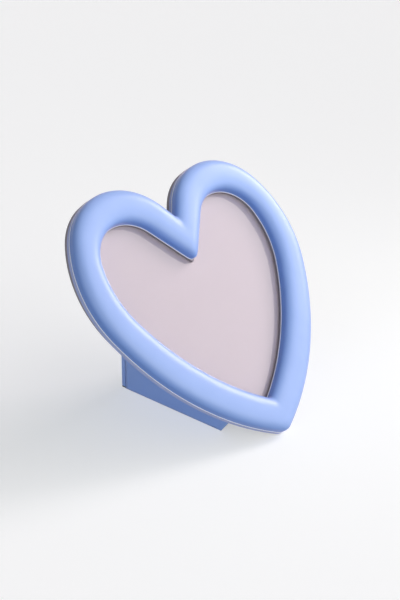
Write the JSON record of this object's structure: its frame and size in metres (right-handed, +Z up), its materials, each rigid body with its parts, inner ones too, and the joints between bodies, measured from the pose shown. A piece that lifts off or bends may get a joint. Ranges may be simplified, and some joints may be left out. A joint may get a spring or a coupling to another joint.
{
  "type": "heart-shaped photo frame",
  "caption": "Heart-shaped tabletop photo frame with a padded faux-leather front, a lift-off back board and a folding easel leg with soft side gussets.",
  "frame": {"origin": "bottom centre of the standing frame's box, on the table", "axes": "+X to the viewer's right across the heart, +Y back from the picture towards the leg, +Z up"},
  "size_m": [0.1984, 0.1388, 0.158],
  "materials": {
    "padded_skin": "smooth faux leather, soft gloss",
    "foam": "open-cell foam",
    "dark_board": "dark fibreboard",
    "edge_skin": "thin turned edge of faux leather",
    "steel": "zinc plated",
    "clear_sheet": "clear sheet",
    "picture_card": "matte card",
    "board_edge": "cut edge of dark fibreboard",
    "magnet": "nickel plated",
    "stand_skin": "smooth faux leather",
    "hinge_steel": "nickel plated steel",
    "foot_rubber": "matte"
  },
  "bodies": {
    "frame": {"bezel_cover": "padded_skin", "bezel_foam": "foam", "bezel_board": "dark_board", "edge_band": "edge_skin", "spacer_ring": "dark_board", "keeper_discs": "steel", "glazing": "clear_sheet", "picture_card": "picture_card"},
    "back_board": {"back_board": "board_edge", "back_magnets": "magnet", "back_lining": "stand_skin", "hinge_fixed_leaf": "hinge_steel", "fixed_leaf_rivets": "hinge_steel", "gusset_left": "stand_skin", "gusset_right": "stand_skin"},
    "stand_leg": {"leg_board": "board_edge", "leg_cover": "stand_skin", "leg_lining": "stand_skin", "hinge_leg_leaf": "hinge_steel", "leg_leaf_rivets": "hinge_steel", "hinge_pin": "hinge_steel", "foot_strip": "foot_rubber"}
  },
  "joints": [
    {"name": "back_lift", "type": "slide", "parent": "frame", "child": "back_board", "axis": [0, 0.766, -0.6428], "range_m": [0, 0.03]},
    {"name": "leg_fold", "type": "hinge", "parent": "back_board", "child": "stand_leg", "pos_m": [0, 0.04236, 0.11321], "axis": [-1, 0, 0], "range_deg": [0, 48.5], "deforming": ["gusset_left", "gusset_right"]}
  ]
}
